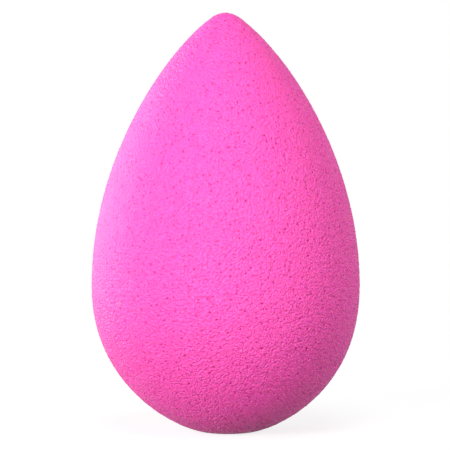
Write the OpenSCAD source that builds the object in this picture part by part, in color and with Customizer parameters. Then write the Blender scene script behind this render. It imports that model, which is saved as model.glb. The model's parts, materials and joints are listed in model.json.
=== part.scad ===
// Teardrop makeup sponge: one piece of soft foam, ground round all over to an egg with a pointed tip.
// It stands on the small flat under its broad end, in the plane z = 0, with its axis along +Z.
// Lengths are in millimetres and angles in degrees.

/* [Sponge] */
// Height from the rest face to the end of the tip
sponge_height = 60; // [45:1:80]
// Greatest diameter, round the belly
belly_diameter = 38.4; // [28:0.2:50]
// Height of the belly, the widest ring, above the rest face
belly_height = 21; // [16:0.5:28]

/* [Tip] */
// Radius that the tip is rounded to
tip_radius = 3.2; // [1.6:0.1:5]
// How far from the vertical the flank leans where it meets the tip's rounding
tip_lean = 54.5; // [42:0.5:65]

/* [Rest face] */
// Diameter of the flat that the sponge stands on
rest_diameter = 7; // [3:0.5:12]

/* [Fullness] */
// How far the belly's upright line pulls the flank up, as a share of the height from belly to tip
belly_rise_share = 0.47; // [0.3:0.01:0.6]
// How far the tip's lean pulls the flank out, as a share of the same height
tip_reach_share = 0.22; // [0.1:0.01:0.3]
// How far the belly's upright line pulls the broad end down, as a share of the belly's height
belly_drop_share = 0.76; // [0.55:0.01:0.85]
// How far the rest face pulls the broad end out level, as a share of the way from its edge to the belly
rest_reach_share = 0.14; // [0.05:0.01:0.4]

/* [Hidden] */

// Steps along each stretch of the outline, and facets round the axis where the shape is previewed
base_steps = 36;
flank_steps = 48;
tip_steps = 10;
round_fn = 180;

belly_radius = belly_diameter / 2;
rest_radius = rest_diameter / 2;
tip_centre_z = sponge_height - tip_radius;

// Where the outline's stretches meet, as [distance from the axis, height]
rest_edge = [rest_radius, 0];
belly_edge = [belly_radius, belly_height];
// The tip is an arc about a centre on the axis, so its radius rises there by as much as the flank leans
tip_edge = [tip_radius * cos(tip_lean), tip_centre_z + tip_radius * sin(tip_lean)];
flank_rise = tip_edge.y - belly_height;

// Point at t, from 0 to 1, on a cubic curve that leaves a towards b and reaches d from c
function curve_point(a, b, c, d, t) =
    let (s = 1 - t)
    s^3 * a + 3 * s^2 * t * b + 3 * s * t^2 * c + t^3 * d;

// That curve in steps, without its start, where the stretch before it ends
function curve(a, b, c, d, steps) =
    [for (i = [1 : steps]) curve_point(a, b, c, d, i / steps)];

// The broad end: level off the rest face's edge, round and upright into the belly
function base_curve() = curve(
    rest_edge,
    rest_edge + [rest_reach_share * (belly_radius - rest_radius), 0],
    belly_edge - [0, belly_drop_share * belly_height],
    belly_edge,
    base_steps);

// The flank: upright off the belly, then in to the tip's rounding at its lean
function flank_curve() = curve(
    belly_edge,
    belly_edge + [0, belly_rise_share * flank_rise],
    tip_edge + tip_reach_share * flank_rise * [sin(tip_lean), -cos(tip_lean)],
    tip_edge,
    flank_steps);

// Point on the tip's rounding, at an angle above the horizontal
function tip_point(rise) = [tip_radius * cos(rise), tip_centre_z + tip_radius * sin(rise)];

// The tip's rounding, from the flank to the axis
function tip_arc() =
    [for (i = [1 : tip_steps - 1]) tip_point(tip_lean + (90 - tip_lean) * i / tip_steps)];

// Half of the sponge's section, from the axis at the rest face round to the axis at the tip
function half_section() =
    concat([[0, 0], rest_edge], base_curve(), flank_curve(), tip_arc(), [[0, sponge_height]]);

// The whole sponge is this one solid piece of foam
module foam_body() {
    color("hotpink")
        rotate_extrude($fn = round_fn)
            polygon(half_section());
}

foam_body();
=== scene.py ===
# %% [markdown]
# # A makeup sponge: one block of foam, ground to a teardrop
#
# The object is a single piece of soft polyurethane foam, about as tall as a thumb is long. It has no
# parts to assemble, so everything depends on three things: a clean outline, a skin that looks like
# foam from close by, and light that shows both. The script makes them in that order.

# %% Start from the fixed frame
import json
import math
import bpy
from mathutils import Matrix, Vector
from mathutils.bvhtree import BVHTree

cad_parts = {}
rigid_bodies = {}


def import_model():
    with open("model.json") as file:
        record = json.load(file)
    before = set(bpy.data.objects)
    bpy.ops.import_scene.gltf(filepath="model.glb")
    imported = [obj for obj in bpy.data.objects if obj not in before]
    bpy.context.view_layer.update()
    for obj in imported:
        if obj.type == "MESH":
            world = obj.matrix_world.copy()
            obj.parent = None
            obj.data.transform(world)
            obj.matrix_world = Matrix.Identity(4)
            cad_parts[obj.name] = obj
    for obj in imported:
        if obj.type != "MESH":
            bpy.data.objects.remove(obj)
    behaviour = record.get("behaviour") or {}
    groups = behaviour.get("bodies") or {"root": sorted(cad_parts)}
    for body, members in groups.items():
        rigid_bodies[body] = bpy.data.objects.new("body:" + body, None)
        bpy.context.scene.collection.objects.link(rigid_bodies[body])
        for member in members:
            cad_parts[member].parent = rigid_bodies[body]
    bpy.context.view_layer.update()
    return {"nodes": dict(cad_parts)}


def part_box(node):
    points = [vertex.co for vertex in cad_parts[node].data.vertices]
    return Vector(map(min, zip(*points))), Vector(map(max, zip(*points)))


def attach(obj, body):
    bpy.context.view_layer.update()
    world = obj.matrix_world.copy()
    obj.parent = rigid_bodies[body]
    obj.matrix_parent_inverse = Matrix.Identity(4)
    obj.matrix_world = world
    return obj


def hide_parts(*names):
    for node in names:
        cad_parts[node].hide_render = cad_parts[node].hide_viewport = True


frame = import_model()
low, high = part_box("foam_body")
print("CAD solid, mm:", [round(side * 1000, 2) for side in high - low])

# %% [markdown]
# ## Sizes
#
# Blender works in metres here, and foam is easier to think of in millimetres, so one value, MM, turns
# one into the other. The height and the width come from the CAD solid. The others say how the outline
# runs between them: where the belly is, how blunt the tip is, and how wide the flat is underneath.

# %% Sizes of the sponge
MM = 0.001
height = high.z - low.z
belly_radius = (high.x - low.x) / 2
belly_height = 21 * MM
tip_radius = 3.2 * MM
tip_lean = math.radians(54.5)
rest_radius = 3.5 * MM

# How far the outline's handles reach, as shares of the way to the next point
belly_rise_share = 0.47
tip_reach_share = 0.22
belly_drop_share = 0.76
rest_reach_share = 0.14
print("belly, mm across:", round(2 * belly_radius / MM, 1), "at a height of", round(belly_height / MM, 1))

# %% [markdown]
# ## The outline
#
# A sponge like this is ground on its axis, so half of its section says everything about its shape. The
# section could be a list of points, but five points with handles hold the same curve, and each of them
# means something: the middle of the rest face, its edge, the belly, the start of the tip's rounding and
# the end of the tip. Handles that lie along one line at a point keep the curve smooth there.

# %% Points and handles of the half section
def flat_point(across, up):
    """A point of the half section, given as its distance from the axis and its height"""
    return Vector((across, 0, up))


rest_edge = flat_point(rest_radius, 0)
belly_edge = flat_point(belly_radius, belly_height)
tip_centre = height - tip_radius
tip_edge = flat_point(tip_radius * math.cos(tip_lean), tip_centre + tip_radius * math.sin(tip_lean))
tip_end = flat_point(0, height)
flank_rise = tip_edge.z - belly_height
down_flank = flat_point(math.sin(tip_lean), -math.cos(tip_lean))

# A quarter turn or less of a circle is a cubic curve whose handles are this long
tip_handle = 4 / 3 * math.tan((math.pi / 2 - tip_lean) / 4) * tip_radius

section_points = [
    (flat_point(0, 0), flat_point(0, 0), flat_point(rest_radius / 3, 0)),
    (rest_edge, flat_point(rest_radius * 2 / 3, 0),
     rest_edge + flat_point(rest_reach_share * (belly_radius - rest_radius), 0)),
    (belly_edge, belly_edge - flat_point(0, belly_drop_share * belly_height),
     belly_edge + flat_point(0, belly_rise_share * flank_rise)),
    (tip_edge, tip_edge + down_flank * tip_reach_share * flank_rise, tip_edge - down_flank * tip_handle),
    (tip_end, tip_end + flat_point(tip_handle, 0), tip_end),
]
print("half section:", len(section_points), "points")

# %% Half of the section, as a Bezier curve in the XZ plane
STEPS_PER_SPAN = 64

section = bpy.data.curves.new("half_section", "CURVE")
section.dimensions = "3D"
spline = section.splines.new("BEZIER")
spline.resolution_u = STEPS_PER_SPAN
spline.bezier_points.add(len(section_points) - 1)
for point, (place, before, after) in zip(spline.bezier_points, section_points):
    point.handle_left_type = "FREE"
    point.handle_right_type = "FREE"
    point.co = place
    point.handle_left = before
    point.handle_right = after
section_object = bpy.data.objects.new("half_section", section)
bpy.context.scene.collection.objects.link(section_object)
print("half section, mm long:", round(spline.calc_length() / MM, 1))

# %% [markdown]
# ## One helper for every node tree
#
# Geometry Nodes and shaders are built from the same kind of parts: a node, its settings, and what goes
# into its sockets. One small function does all three, so the trees below read like a recipe.

# %% Add a node with its settings and links
def add_node(tree, kind, sockets=None, **settings):
    """Adds a node. A socket is given a number, a colour or a word, or the node or output that feeds it."""
    node = tree.nodes.new(kind)
    for name, value in settings.items():
        setattr(node, name, value)
    for name, value in (sockets or {}).items():
        if isinstance(value, bpy.types.Node):
            value = next(out for out in value.outputs if out.enabled)
        if isinstance(value, bpy.types.NodeSocket):
            tree.links.new(value, node.inputs[name])
        else:
            node.inputs[name].default_value = value
    return node


def linear(hex_colour):
    """An sRGB colour such as FF8040 as the linear numbers that shaders work with"""
    parts = [int(hex_colour[i:i + 2], 16) / 255 for i in (0, 2, 4)]
    return [p / 12.92 if p <= 0.04045 else ((p + 0.055) / 1.055) ** 2.4 for p in parts] + [1]


print("FF8040 as linear numbers:", [round(part, 3) for part in linear("FF8040")])

# %% [markdown]
# ## The foam's colour and surface
#
# The material is open-cell polyurethane foam, dyed all through and then cut and ground. Four things
# make it look like foam and not like plastic. The ground face is pebbled like orange peel, a third of a
# millimetre from bump to bump, so it turns rough where light grazes it. Between the bumps lie pinholes, a
# few tenths of a millimetre wide, that look dark because light is lost in them. That darkness is painted
# shade in the colour, as is a lighter painted shade in the valleys between cells. Part of the light goes in
# and comes out again a little way off, red furthest and green hardly at all, so the shade of a small bump
# stays pink. And the gloss is so rough that it only shows as a faint haze on the lit side.
#
# A picture could hold such a surface, but a pattern worked out from the place on the sponge has no seam
# and stays sharp from close by. The pinholes come from the body's own pits: each point of the mesh knows
# how far, and which way, its nearest pit lies. The finest cells are too small for the mesh, so they are
# bump and painted shade in their valleys alone.

# %% Material: the pattern of cells and grain
foam = bpy.data.materials.new("dyed_polyurethane_foam_ground")
foam.use_nodes = True
tree = foam.node_tree
tree.nodes.clear()

# Widths and heights in millimetres
CELL_WIDTH = 0.29
CELL_BEND = 0.25
CELL_HEIGHT = 0.10
GRAIN_WIDTH = 0.14
DYE_PATCH_WIDTH = 9.0

# How softly cells meet, how steeply a dome falls off, and how much the grain adds to its height
CELL_SMOOTHNESS = 0.35
DOME_FALL = -2.2
GRAIN_SHARE = 0.7

place = add_node(tree, "ShaderNodeTexCoord")
in_mm = add_node(tree, "ShaderNodeVectorMath", {0: place.outputs["Object"], "Scale": 1 / MM},
                 operation="SCALE")

# Fine cells: domes that fall off steeply into narrow valleys, loosened by a finer grain
bend = add_node(tree, "ShaderNodeTexNoise", {"Vector": in_mm, "Scale": 1 / CELL_WIDTH, "Detail": 1.0})
bent = add_node(tree, "ShaderNodeVectorMath", {0: bend.outputs["Color"], 1: (CELL_BEND,) * 3, 2: in_mm},
                operation="MULTIPLY_ADD")
cells = add_node(tree, "ShaderNodeTexVoronoi",
                 {"Vector": bent, "Scale": 1 / CELL_WIDTH, "Smoothness": CELL_SMOOTHNESS},
                 feature="SMOOTH_F1")
squared = add_node(tree, "ShaderNodeMath", {0: cells.outputs["Distance"], 1: 2.0}, operation="POWER")
dome = add_node(tree, "ShaderNodeMath", {0: squared, 1: DOME_FALL, 2: 1.0}, operation="MULTIPLY_ADD")
grain = add_node(tree, "ShaderNodeTexNoise",
                 {"Vector": in_mm, "Scale": 1 / GRAIN_WIDTH, "Detail": 1.0, "Roughness": 0.6})
skin = add_node(tree, "ShaderNodeMath", {0: grain, 1: GRAIN_SHARE, 2: dome}, operation="MULTIPLY_ADD")
print("cells and grain:", len(tree.nodes), "nodes")

# %% Material: painted shade of the pinholes, and patches in the dye
# Painted shade: a pinhole is dark by how far the nearest pit lies, set against that pit's own size
to_pit = add_node(tree, "ShaderNodeAttribute", attribute_name="to_pit")
pit_size = add_node(tree, "ShaderNodeAttribute", attribute_name="pit_size")
pit_gap = add_node(tree, "ShaderNodeVectorMath", {0: to_pit.outputs["Vector"]}, operation="LENGTH")
pinhole_shade = add_node(tree, "ShaderNodeMapRange",
                   {"Value": pit_gap.outputs["Value"], "From Min": pit_size.outputs["Fac"],
                    "From Max": 0.0}, interpolation_type="SMOOTHSTEP")
# How low the ground is, which the material turns into painted shade
low_ground = add_node(tree, "ShaderNodeAttribute", attribute_name="low_ground")
patches = add_node(tree, "ShaderNodeTexNoise",
                   {"Vector": in_mm, "Scale": 1 / DYE_PATCH_WIDTH, "Detail": 1.0})
print("foam pattern:", len(tree.nodes), "nodes")

# %% [markdown]
# The pattern now chooses the colour: the dye's own colour on the tops of the cells, painted shade a little
# deeper in the valleys between them and wherever the ground is low, and deepest in the pinholes. One dye
# runs all through and the painted shade is light, so these colours lie close together. The same pattern
# lifts the surface as bump.

# %% Material: colours, with painted shade in the valleys and pinholes
TOP_COLOUR = linear("FE56BA")
TOP_IN_PATCHES = linear("F94EB2")
# Painted shade: a deeper colour for the valleys between cells and the low ground
VALLEY_SHADE_COLOUR = linear("F64AAE")
# Painted shade: the darkest colour, painted into the pinholes where light would be lost
PINHOLE_SHADE = linear("C40C80")

# The pattern's height where the colour of the tops begins, and where the painted shade of the valleys is full
TOP_LEVEL = 1.25
VALLEY_LEVEL = 0.55
LOW_GROUND_SHADE_SHARE = 0.3

# Painted shade deepens the colour in the valleys and on low ground
valley_shade_mask = add_node(tree, "ShaderNodeMapRange",
                  {"Value": skin, "From Min": TOP_LEVEL, "From Max": VALLEY_LEVEL})
valleys = add_node(tree, "ShaderNodeMath",
                   {0: low_ground.outputs["Fac"], 1: LOW_GROUND_SHADE_SHARE, 2: valley_shade_mask.outputs[0]},
                   operation="MULTIPLY_ADD", use_clamp=True)
tops = add_node(tree, "ShaderNodeMix",
                {"Factor": patches, 6: TOP_COLOUR, 7: TOP_IN_PATCHES}, data_type="RGBA")
valley_shaded = add_node(tree, "ShaderNodeMix",
                  {"Factor": valleys, 6: tops.outputs[2], 7: VALLEY_SHADE_COLOUR}, data_type="RGBA")
# Painted shade darkens the pinholes
coloured = add_node(tree, "ShaderNodeMix",
                    {"Factor": pinhole_shade.outputs[0], 6: valley_shaded.outputs[2], 7: PINHOLE_SHADE},
                    data_type="RGBA")
print("with its colours:", len(tree.nodes), "nodes")

# %% Material: relief, gloss and scattering
# Roughness and gloss of matt foam, and the share of light that goes under the surface, and how far, mm
FOAM_ROUGHNESS = 0.52
PLASTIC_IOR = 1.5
FOAM_GLOSS = 0.45
SCATTER_SHARE = 0.2
SCATTER_REACH = 8
SCATTER_BY_COLOUR = (1.0, 0.05, 0.35)

relief = add_node(tree, "ShaderNodeMath", {0: skin, 1: CELL_HEIGHT}, operation="MULTIPLY")
bump = add_node(tree, "ShaderNodeBump", {"Height": relief, "Strength": 1.0, "Distance": MM})

surface = add_node(tree, "ShaderNodeBsdfPrincipled",
                   {"Base Color": coloured.outputs[2], "Normal": bump, "Roughness": FOAM_ROUGHNESS,
                    "IOR": PLASTIC_IOR, "Specular IOR Level": FOAM_GLOSS,
                    "Subsurface Weight": SCATTER_SHARE, "Subsurface Radius": SCATTER_BY_COLOUR,
                    "Subsurface Scale": SCATTER_REACH * MM})
add_node(tree, "ShaderNodeOutputMaterial", {"Surface": surface})
print("foam material:", len(tree.nodes), "nodes")

# %% [markdown]
# ## The foam body
#
# The body's shape follows a rule, so a node tree makes it. It starts from a cube cut into small even
# squares, because a cube blown up to a ball has no poles: a ball made of rings would crowd its faces at
# the tip, where the foam's grain would then look different. The tree blows the cube up, and then lays
# each point on the section by how far up the ball it is. It turns the outline round the axis, as the
# grinder does. Last it pushes the surface in and out, by about a fifth of a millimetre at most. That
# relief is real geometry, so it shows at the edge and in grazing light from any side.
#
# The tree's inputs carry the names of what they set, so that a sponge of another grain needs no new tree.

# %% The tree and its inputs
body_tree = bpy.data.node_groups.new("ground_foam_body", "GeometryNodeTree")
sizes = {
    "Facets": ("NodeSocketInt", 200),
    "Foot Drift": ("NodeSocketFloat", -0.33 * MM),
    "Foot Height": ("NodeSocketFloat", 20 * MM),
    "Pebble Width": ("NodeSocketFloat", 0.30 * MM),
    "Pebble Height": ("NodeSocketFloat", 0.07 * MM),
    "Pit Spacing": ("NodeSocketFloat", 0.85 * MM),
    "Pit Radius": ("NodeSocketFloat", 0.32 * MM),
    "Pit Depth": ("NodeSocketFloat", 0.12 * MM),
    "Waver": ("NodeSocketFloat", 0.03 * MM),
    "Seed": ("NodeSocketInt", 7),
}
body_tree.interface.new_socket("Section", in_out="INPUT", socket_type="NodeSocketObject")
body_tree.interface.new_socket("Foam", in_out="INPUT", socket_type="NodeSocketMaterial")
for name, (kind, value) in sizes.items():
    body_tree.interface.new_socket(name, in_out="INPUT", socket_type=kind).default_value = value
body_tree.interface.new_socket("Body", in_out="OUTPUT", socket_type="NodeSocketGeometry")
given = add_node(body_tree, "NodeGroupInput").outputs
print("inputs:", ", ".join(sizes))

# %% A cube of even squares, blown up to a ball
# The cube's unfolded faces are kept as the map that a painter or a bake would use
corners = add_node(body_tree, "ShaderNodeMath", {0: given["Facets"], 1: 1.0}, operation="ADD")
cube = add_node(body_tree, "GeometryNodeMeshCube",
                {"Size": (2, 2, 2), "Vertices X": corners, "Vertices Y": corners, "Vertices Z": corners})
mapped = add_node(body_tree, "GeometryNodeStoreNamedAttribute",
                  {"Geometry": cube.outputs["Mesh"], "Name": "OFBake", "Value": cube.outputs["UV Map"]},
                  data_type="FLOAT2", domain="CORNER")

# The tangent spreads the squares evenly over the ball
start = add_node(body_tree, "GeometryNodeInputPosition")
quarter = add_node(body_tree, "ShaderNodeVectorMath", {0: start, "Scale": math.pi / 4}, operation="SCALE")
spread = add_node(body_tree, "ShaderNodeVectorMath", {0: quarter}, operation="TANGENT")
on_ball = add_node(body_tree, "ShaderNodeVectorMath", {0: spread}, operation="NORMALIZE")
ball = add_node(body_tree, "GeometryNodeSetPosition", {"Geometry": mapped, "Position": on_ball})
print("cube and ball:", len(body_tree.nodes), "nodes")

# %% [markdown]
# The angle up from the bottom of the ball, as a share of half a turn, says how far along the section a
# point goes. The section gives its distance from the axis and its height, and the point keeps its own
# bearing. The foot of the photographed sponge stands a third of a millimetre to the right of the rest, so
# the tree carries everything above the foot that far to the left.

# %% From the ball to the ground body
spot = add_node(body_tree, "GeometryNodeInputPosition")
spot_parts = add_node(body_tree, "ShaderNodeSeparateXYZ", {0: spot})
turned = add_node(body_tree, "ShaderNodeMath", {0: spot_parts.outputs["Z"], 1: -1.0}, operation="MULTIPLY")
angle = add_node(body_tree, "ShaderNodeMath", {0: turned}, operation="ARCCOSINE")
share = add_node(body_tree, "ShaderNodeMath", {0: angle, 1: math.pi}, operation="DIVIDE")
drawn = add_node(body_tree, "GeometryNodeObjectInfo", {"Object": given["Section"]})
on_section = add_node(body_tree, "GeometryNodeSampleCurve",
                      {"Curves": drawn.outputs["Geometry"], "Factor": share}, mode="FACTOR")
section_parts = add_node(body_tree, "ShaderNodeSeparateXYZ", {0: on_section.outputs["Position"]})

# Carry that point of the section round the axis, and let the foot drift
level = add_node(body_tree, "ShaderNodeVectorMath", {0: spot, 1: (1, 1, 0)}, operation="MULTIPLY")
outward = add_node(body_tree, "ShaderNodeVectorMath", {0: level}, operation="NORMALIZE")
around = add_node(body_tree, "ShaderNodeVectorMath",
                  {0: outward, "Scale": section_parts.outputs["X"]}, operation="SCALE")
above_foot = add_node(body_tree, "ShaderNodeMapRange",
                      {"Value": section_parts.outputs["Z"], "From Min": 0.0, "From Max": given["Foot Height"],
                       "To Min": 0.0, "To Max": given["Foot Drift"]}, interpolation_type="SMOOTHSTEP")
raised = add_node(body_tree, "ShaderNodeCombineXYZ",
                  {"X": above_foot.outputs[0], "Z": section_parts.outputs["Z"]})
on_body = add_node(body_tree, "ShaderNodeVectorMath", {0: around, 1: raised}, operation="ADD")
body = add_node(body_tree, "GeometryNodeSetPosition", {"Geometry": ball, "Position": on_body})
print("with the ground form:", len(body_tree.nodes), "nodes")

# %% [markdown]
# Three reliefs lie on top of each other. A slow waver shows that the shape was ground by hand. Pebbles
# are the soft bumps between the cells. Pits are scattered points, each with its own width, and a point of
# the body sinks by how near to one it lies.

# %% Relief: waver and pebbles
WAVER_WIDTH = 22 * MM
SEED_STEP = (0.37, 0.11, 0.23)

# Nearly all of a noise lies between these two values. They become full depth and full height.
USUAL_NOISE = {"From Min": 0.25, "From Max": 0.75, "To Min": -1.0, "To Max": 1.0}

here = add_node(body_tree, "GeometryNodeInputPosition")
normal = add_node(body_tree, "GeometryNodeInputNormal")
seed_step = add_node(body_tree, "ShaderNodeVectorMath", {0: SEED_STEP, "Scale": given["Seed"]},
                     operation="SCALE")
sought = add_node(body_tree, "ShaderNodeVectorMath", {0: here, 1: seed_step}, operation="ADD")
waver = add_node(body_tree, "ShaderNodeTexNoise",
                 {"Vector": sought, "Scale": 1 / WAVER_WIDTH, "Detail": 1.0})
waver_out = add_node(body_tree, "ShaderNodeMapRange", {"Value": waver, **USUAL_NOISE})
waver_push = add_node(body_tree, "ShaderNodeMath", {0: waver_out.outputs[0], 1: given["Waver"]},
                      operation="MULTIPLY")

pebble_scale = add_node(body_tree, "ShaderNodeMath", {0: 1.0, 1: given["Pebble Width"]}, operation="DIVIDE")
pebble = add_node(body_tree, "ShaderNodeTexNoise",
                  {"Vector": sought, "Scale": pebble_scale, "Detail": 2.0, "Roughness": 0.45})
pebble_out = add_node(body_tree, "ShaderNodeMapRange", {"Value": pebble, **USUAL_NOISE})
pebble_push = add_node(body_tree, "ShaderNodeMath", {0: pebble_out.outputs[0], 1: given["Pebble Height"]},
                       operation="MULTIPLY")
print("with waver and pebbles:", len(body_tree.nodes), "nodes")

# %% Relief: pits
# The smallest pit as a share of the widest, and pits in a square metre, more than their spacing allows
SMALLEST_PIT = 0.3
MOST_PITS = 2e6

pits = add_node(body_tree, "GeometryNodeDistributePointsOnFaces",
                {"Mesh": body, "Distance Min": given["Pit Spacing"], "Density Max": MOST_PITS,
                 "Seed": given["Seed"]}, distribute_method="POISSON")
nearest = add_node(body_tree, "GeometryNodeSampleNearest", {"Geometry": pits.outputs["Points"]},
                   domain="POINT")
pit_place = add_node(body_tree, "GeometryNodeSampleIndex",
                     {"Geometry": pits.outputs["Points"], "Value": here, "Index": nearest},
                     data_type="FLOAT_VECTOR", domain="POINT")
pit_chance = add_node(body_tree, "FunctionNodeRandomValue",
                      {2: SMALLEST_PIT, 3: 1.0, "Seed": given["Seed"]}, data_type="FLOAT")
pit_size = add_node(body_tree, "GeometryNodeSampleIndex",
                    {"Geometry": pits.outputs["Points"], "Value": pit_chance.outputs[1], "Index": nearest},
                    data_type="FLOAT", domain="POINT")
pit_gap = add_node(body_tree, "ShaderNodeVectorMath", {0: here, 1: pit_place}, operation="DISTANCE")
pit_reach = add_node(body_tree, "ShaderNodeMath", {0: pit_size, 1: given["Pit Radius"]},
                     operation="MULTIPLY")
in_pit = add_node(body_tree, "ShaderNodeMapRange",
                  {"Value": pit_gap.outputs["Value"], "From Min": pit_reach, "From Max": 0.0,
                   "To Min": 0.0, "To Max": 1.0}, interpolation_type="SMOOTHSTEP")
pit_sunk = add_node(body_tree, "ShaderNodeMath", {0: in_pit.outputs[0], 1: pit_size},
                    operation="MULTIPLY")
pit_push = add_node(body_tree, "ShaderNodeMath", {0: pit_sunk, 1: given["Pit Depth"]},
                    operation="MULTIPLY")
print("with the pits:", len(body_tree.nodes), "nodes")

# %% [markdown]
# Where the sponge rests, its own weight presses the surface level, so the relief fades out there. The
# material paints shade by where the nearest pit lies, how wide it is and how low the ground is, so the tree
# notes these three at every point before it moves any.

# %% Keep the rest face flat, note what the material needs, then move the points
FLAT_UP_TO = 0.05 * MM
ROUGH_FROM = 1.0 * MM
LOW_GROUND_PER_PEBBLE = -0.5

here_parts = add_node(body_tree, "ShaderNodeSeparateXYZ", {0: here})
clear_of_floor = add_node(body_tree, "ShaderNodeMapRange",
                          {"Value": here_parts.outputs["Z"], "From Min": FLAT_UP_TO, "From Max": ROUGH_FROM,
                           "To Min": 0.0, "To Max": 1.0}, interpolation_type="SMOOTHSTEP")
soft = add_node(body_tree, "ShaderNodeMath", {0: waver_push, 1: pebble_push}, operation="ADD")
all_relief = add_node(body_tree, "ShaderNodeMath", {0: soft, 1: pit_push}, operation="SUBTRACT")
kept = add_node(body_tree, "ShaderNodeMath", {0: all_relief, 1: clear_of_floor.outputs[0]},
                operation="MULTIPLY")
push = add_node(body_tree, "ShaderNodeVectorMath", {0: normal, "Scale": kept}, operation="SCALE")

# Both distances are noted in millimetres
to_pit_m = add_node(body_tree, "ShaderNodeVectorMath", {0: pit_place, 1: here}, operation="SUBTRACT")
to_pit_mm = add_node(body_tree, "ShaderNodeVectorMath", {0: to_pit_m, "Scale": 1 / MM}, operation="SCALE")
pit_reach_mm = add_node(body_tree, "ShaderNodeMath", {0: pit_reach, 1: 1 / MM}, operation="MULTIPLY")
# How low the ground is, noted for the painted shade in the material
low_share = add_node(body_tree, "ShaderNodeMath", {0: pebble_out.outputs[0], 1: LOW_GROUND_PER_PEBBLE},
                     operation="MULTIPLY", use_clamp=True)
noted = body
for name, value, kind in (("to_pit", to_pit_mm, "FLOAT_VECTOR"), ("pit_size", pit_reach_mm, "FLOAT"),
                          ("low_ground", low_share, "FLOAT")):
    noted = add_node(body_tree, "GeometryNodeStoreNamedAttribute",
                     {"Geometry": noted, "Name": name, "Value": value}, data_type=kind, domain="POINT")

rough = add_node(body_tree, "GeometryNodeSetPosition", {"Geometry": noted, "Offset": push})
smooth = add_node(body_tree, "GeometryNodeSetShadeSmooth", {"Geometry": rough})
real = add_node(body_tree, "GeometryNodeRealizeInstances", {"Geometry": smooth})
finished = add_node(body_tree, "GeometryNodeSetMaterial", {"Geometry": real, "Material": given["Foam"]})
add_node(body_tree, "NodeGroupOutput", {"Body": finished})
print("body tree:", len(body_tree.nodes), "nodes")

# %% [markdown]
# ## From the tree to a mesh
#
# A modifier runs the tree. Its result is kept as a plain mesh and the modifier goes, so that the sponge
# can be exported, and so that nothing depends on the section any more.

# %% Run the tree and keep its result as a plain mesh
def made_by_tree(name, tree, given_values):
    """An object that holds what the tree makes, as a plain mesh with no modifier left"""
    ob = bpy.data.objects.new(name, bpy.data.meshes.new(name))
    bpy.context.scene.collection.objects.link(ob)
    modifier = ob.modifiers.new(name, "NODES")
    modifier.node_group = tree
    sockets = {item.name: item.identifier for item in tree.interface.items_tree
               if item.item_type == "SOCKET" and item.in_out == "INPUT"}
    for socket_name, value in given_values.items():
        modifier[sockets[socket_name]] = value
    depsgraph = bpy.context.evaluated_depsgraph_get()
    mesh = bpy.data.meshes.new_from_object(ob.evaluated_get(depsgraph), depsgraph=depsgraph)
    ob.modifiers.clear()
    ob.data = mesh
    mesh.name = name
    return ob


sponge = made_by_tree("foam_sponge", body_tree, {"Section": section_object, "Foam": foam})
bpy.data.objects.remove(section_object)
print("foam body:", len(sponge.data.vertices), "points,", len(sponge.data.polygons), "faces")

# %% [markdown]
# The finished surface has to stay with the CAD solid, which the physics uses. Every fortieth point is
# enough to tell how far apart they lie, and the lowest point has to be on the floor.

# %% Measure how far the finished surface lies from the CAD solid
POINTS_PER_SAMPLE = 40
solid = frame["nodes"]["foam_body"].data
tree_of_solid = BVHTree.FromPolygons([v.co for v in solid.vertices], [p.vertices for p in solid.polygons])
gaps = [tree_of_solid.find_nearest(v.co)[3] / MM for v in list(sponge.data.vertices)[::POINTS_PER_SAMPLE]]
print("from the CAD solid, mm: mean", round(sum(gaps) / len(gaps), 3), "most", round(max(gaps), 3))
print("lowest point, mm:", round(min(v.co.z for v in sponge.data.vertices) / MM, 4))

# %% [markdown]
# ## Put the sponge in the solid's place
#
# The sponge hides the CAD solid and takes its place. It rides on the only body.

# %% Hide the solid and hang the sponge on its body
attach(sponge, "root")
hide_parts("foam_body")
print(sponge.name, "stands for foam_body, rides on root and is padded")

# %% [markdown]
# ## Floor, light and camera
#
# Such sponges are photographed on white. Through the Light Path node the camera sees the floor as white
# card that keeps the shadow. The light that bounces up from it to the sponge comes off a mid grey, because
# a white floor would wash out the shade underneath.
#
# The key lamp, ahead and to the left, makes the shape. One behind on the left lights that edge, and weaker
# ones on the right and above keep the shade from going dark.

# %% Floor: a card that looks white and lights as grey
LIT_CARD = linear("787878")
SHADOW_REACH = 0.16
CARD_SEEN = 0.3
CARD_GLOW = 0.79

card = bpy.data.materials.new("matt_white_card")
card.use_nodes = True
tree = card.node_tree
tree.nodes.clear()
lit_card = add_node(tree, "ShaderNodeBsdfDiffuse", {"Color": LIT_CARD})

# What the camera sees: near the sponge a card that holds its shadow, and pure white further off
place = add_node(tree, "ShaderNodeTexCoord")
off_centre = add_node(tree, "ShaderNodeVectorMath", {0: place.outputs["Object"]}, operation="LENGTH")
far = add_node(tree, "ShaderNodeMapRange",
               {"Value": off_centre.outputs["Value"], "From Min": SHADOW_REACH / 2,
                "From Max": SHADOW_REACH}, interpolation_type="SMOOTHSTEP")
strength = add_node(tree, "ShaderNodeMapRange",
                    {"Value": far.outputs[0], "To Min": CARD_GLOW, "To Max": 1.0})
glow = add_node(tree, "ShaderNodeEmission", {"Strength": strength.outputs[0]})
seen_card = add_node(tree, "ShaderNodeBsdfDiffuse", {"Color": (CARD_SEEN, CARD_SEEN, CARD_SEEN, 1)})
near_card = add_node(tree, "ShaderNodeAddShader", {0: seen_card, 1: glow})
white_card = add_node(tree, "ShaderNodeMixShader", {0: far.outputs[0], 1: near_card, 2: glow})

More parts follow.
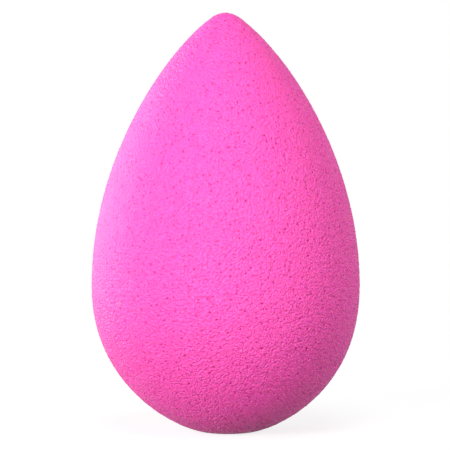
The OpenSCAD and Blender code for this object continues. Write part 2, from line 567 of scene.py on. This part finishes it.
path = add_node(tree, "ShaderNodeLightPath")
seen = add_node(tree, "ShaderNodeMath", {0: path.outputs["Is Camera Ray"], 1: path.outputs["Is Glossy Ray"]},
                operation="MAXIMUM")
seen_through = add_node(tree, "ShaderNodeMath", {0: seen, 1: path.outputs["Is Transmission Ray"]},
                        operation="MAXIMUM")
chosen = add_node(tree, "ShaderNodeMixShader", {0: seen_through, 1: lit_card, 2: white_card})
add_node(tree, "ShaderNodeOutputMaterial", {"Surface": chosen})
print("card material:", len(tree.nodes), "nodes")

# %% Floor: the sheet itself
FLOOR_REACH = 3.0

floor_corners = [(-1, -1), (1, -1), (1, 1), (-1, 1)]
floor_mesh = bpy.data.meshes.new("floor")
floor_mesh.from_pydata([(x * FLOOR_REACH, y * FLOOR_REACH, low.z) for x, y in floor_corners],
                       [], [(0, 1, 2, 3)])
floor_mesh.materials.append(card)
floor = bpy.data.objects.new("floor", floor_mesh)
bpy.context.scene.collection.objects.link(floor)
print("floor, m across:", 2 * FLOOR_REACH)

# %% World: weak soft light all round, and white wherever the camera looks past the floor
ROOM_LIGHT = 0.12
world = bpy.data.worlds.new("studio")
bpy.context.scene.world = world
world.use_nodes = True
tree = world.node_tree
tree.nodes.clear()
path = add_node(tree, "ShaderNodeLightPath")
seen = add_node(tree, "ShaderNodeMath", {0: path.outputs["Is Camera Ray"], 1: path.outputs["Is Glossy Ray"]},
                operation="MAXIMUM")
room = add_node(tree, "ShaderNodeBackground", {"Color": (1, 1, 1, 1), "Strength": ROOM_LIGHT})
white = add_node(tree, "ShaderNodeBackground", {"Color": (1, 1, 1, 1), "Strength": 1.0})
seen_through = add_node(tree, "ShaderNodeMath", {0: seen, 1: path.outputs["Is Transmission Ray"]},
                        operation="MAXIMUM")
chosen = add_node(tree, "ShaderNodeMixShader", {0: seen_through, 1: room, 2: white})
add_node(tree, "ShaderNodeOutputWorld", {"Surface": chosen})
print("room light:", ROOM_LIGHT)

# %% Lamps: four soft boxes, the strongest ahead on the left
LAMP_WIDTH = 0.3
LAMP_DISTANCE = 0.6


def add_lamp(name, bearing, rise, power):
    """A square soft lamp aimed at the sponge. Bearing 0 is the camera's, and negative is to its left."""
    lamp = bpy.data.lights.new(name, "AREA")
    lamp.shape = "SQUARE"
    lamp.size = LAMP_WIDTH
    lamp.energy = power
    ob = bpy.data.objects.new(name, lamp)
    across, up = math.radians(bearing), math.radians(rise)
    towards = Vector((math.sin(across) * math.cos(up), -math.cos(across) * math.cos(up), math.sin(up)))
    ob.location = Vector((0, 0, height / 2)) + towards * LAMP_DISTANCE
    ob.rotation_euler = towards.to_track_quat("Z", "Y").to_euler()
    bpy.context.scene.collection.objects.link(ob)
    return ob


for name, bearing, rise, power in (
        ("left_edge", -128, 8, 2.6), ("key", -39, 12, 5.1), ("right", 61, 16, 1.9),
        ("top", 5, 65, 1.4)):
    add_lamp(name, bearing, rise, power)
    print("lamp", name, "at bearing", bearing, "and rise", rise, "with", power, "W")

# %% [markdown]
# The camera looks from three degrees above the level through a long lens. Its distance and aim are set so
# that the sponge fills the frame as it does in the photograph.

# %% Camera
lens_mm = 200
sensor_mm = 36
distance = 358.5 * MM
rise = math.radians(3)
look_at = Vector((-0.42 * MM, 0, 29.66 * MM))

camera_data = bpy.data.cameras.new("camera")
camera_data.lens = lens_mm
camera_data.sensor_width = sensor_mm
camera_data.clip_start = 0.01
camera = bpy.data.objects.new("camera", camera_data)
camera.location = look_at + Vector((0, -math.cos(rise), math.sin(rise))) * distance
camera.rotation_euler = (look_at - camera.location).to_track_quat("-Z", "Y").to_euler()
bpy.context.scene.collection.objects.link(camera)
bpy.context.scene.camera = camera
bpy.context.scene.view_settings.view_transform = "Standard"
print("camera, mm from the sponge:", round(distance / MM, 1))
